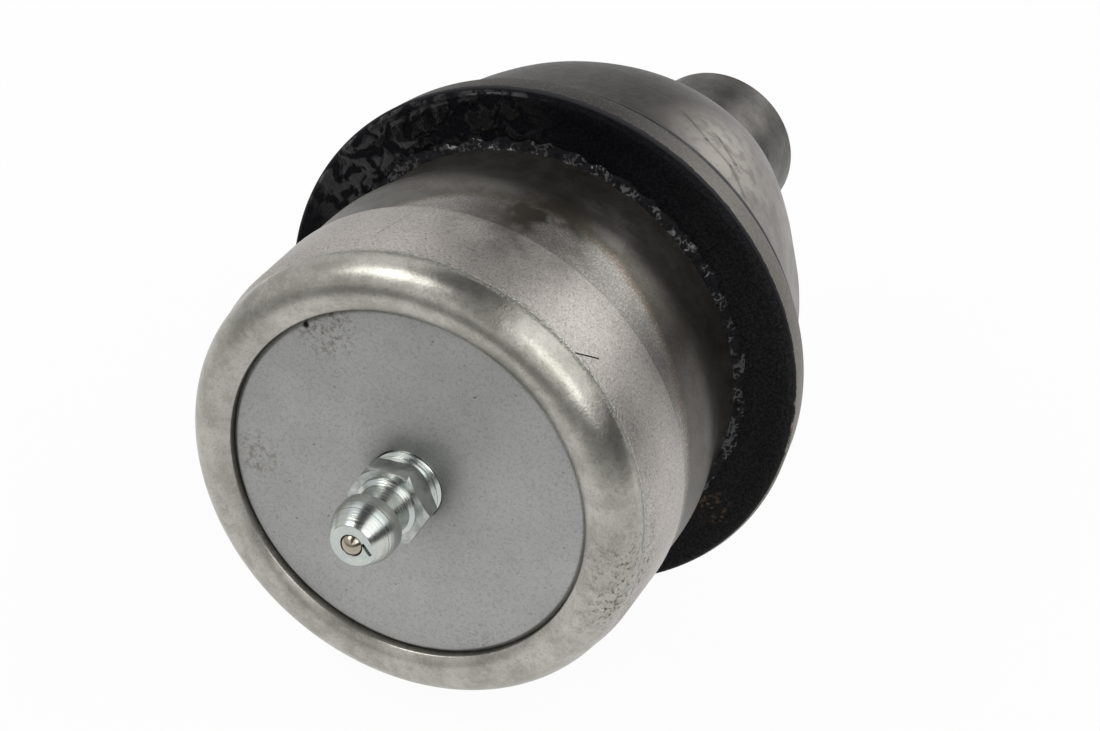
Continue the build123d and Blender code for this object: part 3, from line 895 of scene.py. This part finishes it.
boot = turned("bootShell", bootOutline(bootSizes), edge=0.25)
for centre, push, reach in bootSizes["dents"]:
    pressIn(boot, centre, push, reach)
finishPiece(boot, bootFinish(bootTones, bootMarks, bootSizes), None, "boot_rubber", "dust_boot")
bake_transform(boot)


# boot rings and collar
ringSizes = {
    "baseRing": (25.8, 27.9, 0.8),          # radius, place, half the wire
    "garter": (12.5, 51.3, 0.65),
    "collar": {"inner": 9.05, "outer": 10.5, "start": 49.1, "lip": 53.4, "lipRadius": 11.6, "stop": 54.1},
}
steelTones = {                              # darker, lighter
    "spring": ((0.055, 0.055, 0.056), (0.10, 0.10, 0.10)),
    "collar": ((0.32, 0.315, 0.31), (0.42, 0.41, 0.40)),
    "ball": ((0.37, 0.33, 0.26), (0.45, 0.405, 0.325)),
    "coil": ((0.30, 0.30, 0.31), (0.42, 0.42, 0.43)),
    "bearing": ((0.20, 0.20, 0.21), (0.32, 0.32, 0.33)),
}


def wireOutline(radius, place, half, count=14):
    turns = [2 * pi * i / count for i in range(count)]
    return [(radius + half * cos(t), place + half * sin(t)) for t in turns]


def plainSteelFinish(name, tones, rough):
    f = Finish(name, Metallic=1.0)
    grain = f.noise(3.0, 4.0, 0.65)
    cloud = f.noise(0.3, 4.0, 0.6)
    f.set(Base_Color=f.mix(cloud.ramp(0.3, 0.7), *tones))
    f.set(Roughness=(rough + grain * 0.15).clamped())
    f.relief(grain, 0.02, 0.6)
    return f


def collarOutline(s):
    return [
        (s["inner"], s["start"]),
        (s["outer"], s["start"]),
        (s["outer"], s["lip"]),
        (s["lipRadius"], s["lip"]),
        (s["lipRadius"], s["stop"]),
        (s["inner"], s["stop"]),
    ]


springSteel = plainSteelFinish("springWire", steelTones["spring"], 0.42)
baseRing = turned("baseRingWire", wireOutline(*ringSizes["baseRing"]))
finishPiece(baseRing, springSteel, "housing", "spring_steel", "boot_base_ring")
garter = turned("garterWire", wireOutline(*ringSizes["garter"]))
finishPiece(garter, springSteel, "boot_end", "spring_steel", "boot_garter")
collar = turned("collarRing", collarOutline(ringSizes["collar"]), edge=0.12)
collarSteel = plainSteelFinish("collarSteel", steelTones["collar"], 0.33)
finishPiece(collar, collarSteel, "boot_end", "collar_steel", "boot_collar")


# ball stud
studSizes = {
    "ballCentre": 19.3,
    "ballRadius": 15.0,
    "flat": 6.0,
    "neck": 8.0,
    "neckFillet": 3.0,
    "neckEnd": 36.3,
    "shank": 9.0,
    "shankStart": 38.3,
    "groove": 62.3,
    "grooveHalf": 3.5707,
    "grooveDepth": 1.5,
    "end": 74.6,
    "chamfer": 1.0,
}


def studOutline(s):
    ball, centre, fillet, shank = s["ballRadius"], s["ballCentre"], s["neckFillet"], s["shank"]
    across = s["neck"] + fillet
    rise = ((ball + fillet) ** 2 - across ** 2) ** 0.5
    joinAngle = atan2(across, rise)
    flatRise = (ball ** 2 - s["flat"] ** 2) ** 0.5
    join = (ball * sin(joinAngle), centre + ball * cos(joinAngle))
    half = (pi / 2 + joinAngle) / 2
    filletMiddle = (across - fillet * sin(half), centre + rise - fillet * cos(half))
    outline = [(0.0, centre - flatRise), (s["flat"], centre - flatRise)]
    outline += arcPoints(outline[-1], (ball, centre), join, 30)
    outline += arcPoints(join, filletMiddle, (s["neck"], centre + rise), 6)
    grooveStart, grooveEnd = s["groove"] - s["grooveHalf"], s["groove"] + s["grooveHalf"]
    outline += [(s["neck"], s["neckEnd"]), (shank, s["shankStart"]), (shank, grooveStart)]
    outline += arcPoints(outline[-1], (shank - s["grooveDepth"], s["groove"]), (shank, grooveEnd), 12)
    outline += [(shank, s["end"] - s["chamfer"]), (shank - s["chamfer"], s["end"]), (0.0, s["end"])]
    return outline


studTones = {
    "steel": ((0.12, 0.117, 0.11), (0.21, 0.20, 0.185)),
    "stain": (0.055, 0.05, 0.042),
}


def studFinish(tones):
    f = Finish("studSteel", Metallic=1.0)
    grain = f.noise(1.6, 5.0, 0.7)
    cloud = f.noise(0.3, 4.0, 0.6)
    colour = f.mix(cloud.ramp(0.3, 0.7), *tones["steel"])
    f.set(Base_Color=f.mix(grain.ramp(0.50, 0.75) * 0.35, colour, tones["stain"]))
    f.set(Roughness=(0.38 + grain * 0.2).clamped())
    f.relief(grain, 0.05, 0.6)
    return f


stud = turned("studBody", studOutline(studSizes), steps=120, closed=False, edge=0.12)
finishPiece(stud, studFinish(studTones), "ball_stud", "stud_steel", "ball_stud")


# grease fitting
fittingSizes = {
    "shankEnd": -3.5,
    "passage": 0.85,
    "threadRoot": 3.12,
    "threadCrest": 3.7,
    "threadPitch": 0.907,
    "threadTurns": 6,
    "threadUnder": 0.3,         # the thread runs this far under the hexagon
    "threadSink": 0.05,
    "tooth": ((0.40, 0.04), (0.44, 0.0), (0.56, 0.0), (0.60, 0.04)),   # share of the pitch, depth below the crest
    "hexBack": -9.6,
    "hexFront": -11.7,
    "hexCorner": 4.33,
    "hexTurn": -28.0,
    "hexSlope": 0.3,
    "hexClear": (0.05, 0.1),    # the chamfer starts outside the flats and ends outside the corners
    "hexRound": 0.06,
    "hexInset": (0.1, 0.2),     # the body's step inside the hexagon, back and front
    "boss": (3.05, -12.0),
    "waist": 2.6,
    "waistStep": 0.25,
    "waistFlare": 0.1,
    "noseBack": -14.3,
    "noseStart": -14.9,
    "noseRound": (0.06, 0.1, 0.25),   # depth, start and end
    "coneStart": -16.4,
    "coneMiddle": (2.834, -17.752),
    "nose": 3.28,
    "tip": (2.15, -19.0),
    "tipEdge": (0.03, 0.06),
    "mouth": 1.1,
    "mouthEdge": 0.05,
    "chamber": 1.35,
    "chamberStart": 0.45,
    "chamberDepth": 5.6,
    "slit": ((1.15, 0.45), (1.98, -0.62)),   # one end and the other, across the tip
    "slitWidth": 0.38,
    "slitDepth": 0.6,
}


def fittingOutline(s):
    root, waist, nose, mouth = s["threadRoot"], s["waist"], s["nose"], s["mouth"]
    boss, bossFace = s["boss"]
    tipRadius, tip = s["tip"]
    insetBack, insetFront = s["hexInset"]
    deep, first, last = s["noseRound"]
    out, back = s["tipEdge"]
    outline = [
        (s["passage"], s["shankEnd"]),
        (root, s["shankEnd"]),
        (root, s["hexBack"] + insetBack),
        (root, s["hexFront"] + insetFront),
        (boss, s["hexFront"] + insetFront),
        (boss, bossFace),
        (waist, bossFace - s["waistStep"]),
        (waist, s["noseBack"] + s["waistStep"]),
        (waist + s["waistFlare"], s["noseBack"]),
        (nose - deep, s["noseStart"] - first),
        (nose, s["noseStart"] - last),
        (nose, s["coneStart"]),
    ]
    outline += arcPoints(outline[-1], s["coneMiddle"], (tipRadius, tip), 10)[:-1]
    outline += [
        (tipRadius + out, tip + back),
        (tipRadius - back, tip),
        (mouth + s["mouthEdge"], tip),
        (mouth, tip + s["mouthEdge"]),
        (s["chamber"], tip + s["chamberStart"]),
        (s["chamber"], tip + s["chamberDepth"]),
        (s["passage"], tip + s["chamberDepth"]),
    ]
    return outline


def cutSlit(piece, s):
    (startX, startZ), (endX, endZ) = s["slit"]
    middle = ((startX + endX) / 2 * mm, s["tip"][1] * mm, (startZ + endZ) / 2 * mm)
    turn = atan2(startZ - endZ, endX - startX)
    deselectAll()
    bpy.ops.mesh.primitive_cube_add(size=mm, location=middle, rotation=(0, turn, 0))
    blade = bpy.context.object
    blade.scale = (hypot(endX - startX, endZ - startZ), 2 * s["slitDepth"], s["slitWidth"])
    cutWith(piece, blade, "DIFFERENCE")
    bpy.ops.object.shade_smooth_by_angle(angle=radians(30))


def fittingHex(s):
    front, back, corner, slope = s["hexFront"], s["hexBack"], s["hexCorner"], s["hexSlope"]
    deselectAll()
    bpy.ops.mesh.primitive_circle_add(vertices=6, radius=corner * mm, fill_type="NGON",
                                      location=(0, front * mm, 0), rotation=(pi / 2, radians(s["hexTurn"]), 0))
    piece = bpy.context.object
    piece.name = "fittingHexagon"
    bpy.ops.object.transform_apply(location=True, rotation=True, scale=True)
    bpy.ops.object.mode_set(mode="EDIT")
    bpy.ops.mesh.select_all(action="SELECT")
    bpy.ops.mesh.extrude_region_move(TRANSFORM_OT_translate={"value": (0, (back - front) * mm, 0)})
    bpy.ops.mesh.select_all(action="SELECT")
    bpy.ops.mesh.normals_make_consistent(inside=False)
    bpy.ops.object.mode_set(mode="OBJECT")
    pastFlat, pastCorner = s["hexClear"]
    flat, wide = corner * cos(pi / 6) + pastFlat, corner + pastCorner
    barrel = turned("hexChamfer", [(0, front), (flat, front), (wide, front + slope), (wide, back - slope),
                                   (flat, back), (0, back)], steps=96, closed=False)
    cutWith(piece, barrel, "INTERSECT")
    roundEdges(piece, s["hexRound"])
    bpy.ops.object.shade_smooth_by_angle(angle=radians(25))
    return piece


def fittingThread(s):
    root, crest, pitch = s["threadRoot"] - s["threadSink"], s["threadCrest"], s["threadPitch"]
    start = s["hexBack"] - s["threadUnder"]
    tooth = [(root, 0.0)] + [(crest - depth, share) for share, depth in s["tooth"]] + [(root, 1.0)]
    piece = drawn("fittingThread", [(radius, start + share * pitch) for radius, share in tooth])
    wound(piece, pitch, s["threadTurns"], 72)
    bpy.ops.object.mode_set(mode="OBJECT")
    bpy.ops.object.shade_smooth_by_angle(angle=radians(28))
    return piece


zincTones = {
    "bright": ((0.50, 0.55, 0.54), (0.60, 0.62, 0.56)),
    "dull": ((0.26, 0.28, 0.27), (0.52, 0.54, 0.52)),
    "grain": (0.42, 0.43, 0.40),
}


def zincFinish(name, tones, grainTone, ringScale, ringDepth):
    f = Finish(name, Metallic=1.0)
    rings = f.noise(1.0, 1.0, 0.5, along=f.stretched(0.03, ringScale, 0.03))
    grain = f.noise(5.0, 4.0, 0.65)
    cloud = f.noise(0.5, 4.0, 0.6)
    colour = f.mix(cloud.ramp(0.3, 0.7), *tones)
    f.set(Base_Color=f.mix(grain.ramp(0.6, 0.8) * 0.3, colour, grainTone))
    f.set(Roughness=(0.12 + grain * 0.10 + rings * 0.10).clamped())
    f.relief(rings.ramp(0.35, 0.65) * ringDepth + grain * 0.2, 0.03, 1.0)
    return f


zinc = zincFinish("turnedZinc", zincTones["bright"], zincTones["grain"], 5.5, 0.55)
zincFlat = zincFinish("dullZinc", zincTones["dull"], zincTones["grain"], 2.0, 0.2)
fitting = turned("fittingBody", fittingOutline(fittingSizes), steps=120, edge=0.03)
cutSlit(fitting, fittingSizes)
finishPiece(fitting, zinc, "housing", "zinc_plate", "grease_fitting")
finishPiece(fittingHex(fittingSizes), zincFlat, "housing", "zinc_plate", "grease_fitting")
finishPiece(fittingThread(fittingSizes), zinc, "housing", "zinc_plate", "grease_fitting")


# check ball and its spring
valveSizes = {
    "ball": 1.2,                # radii, mm
    "coil": 1.05,
    "wire": 0.145,
    "start": -17.38,
    "end": -13.551,
    "turns": 5,
    "travel": 0.8,
}


def ballOutline(radius, centre):
    top = (0.0, centre - radius)
    return [top] + arcPoints(top, (radius, centre), (0.0, centre + radius), 32)


def coiled(name, s):
    deselectAll()
    bpy.ops.mesh.primitive_circle_add(vertices=16, radius=s["wire"] * mm, location=(s["coil"] * mm, s["start"] * mm, 0))
    piece = bpy.context.object
    piece.name = name
    bpy.ops.object.transform_apply(location=True, rotation=True, scale=True)
    wound(piece, (s["end"] - s["start"]) / s["turns"], s["turns"], 40)
    bpy.ops.mesh.fill_holes(sides=0)
    bpy.ops.mesh.select_all(action="SELECT")
    bpy.ops.mesh.normals_make_consistent(inside=False)
    bpy.ops.object.mode_set(mode="OBJECT")
    bpy.ops.object.shade_smooth_by_angle(angle=radians(40))
    return piece


lowCorner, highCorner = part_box("check_ball")
ballCentre = (lowCorner[1] + highCorner[1]) / 2 / mm
checkBall = turned("checkBallBody", ballOutline(valveSizes["ball"], ballCentre), steps=64, closed=False, crease=60)
ballSteel = plainSteelFinish("polishedBall", steelTones["ball"], 0.10)
finishPiece(checkBall, ballSteel, "check_ball", "polished_steel", "check_ball")

checkSpring = coiled("checkSpringWire", valveSizes)
coilSteel = plainSteelFinish("coilSteel", steelTones["coil"], 0.28)
finishPiece(checkSpring, coilSteel, "housing", "spring_steel", "check_spring")
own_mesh(checkSpring)


# pieces inside, which keep their own shape
bearingSteel = plainSteelFinish("bearingSteel", steelTones["bearing"], 0.3)
insideFinishes = {
    "pressure_seat": bearingSteel,
    "stud_bearing": bearingSteel,
    "preload_spring": coilSteel,
    "cover_seal": rubber,
}
for nodeName, finish in insideFinishes.items():
    node = frame["nodes"][nodeName]
    for part in [node] + list(node.children_recursive):
        if part.type != "MESH":
            continue
        if not part.material_slots:
            part.data.materials.append(finish.material)
        for materialSlot in part.material_slots:
            materialSlot.material = finish.material
print("inside pieces finished")


# picture settings
bpy.context.scene.view_settings.view_transform = "Standard"
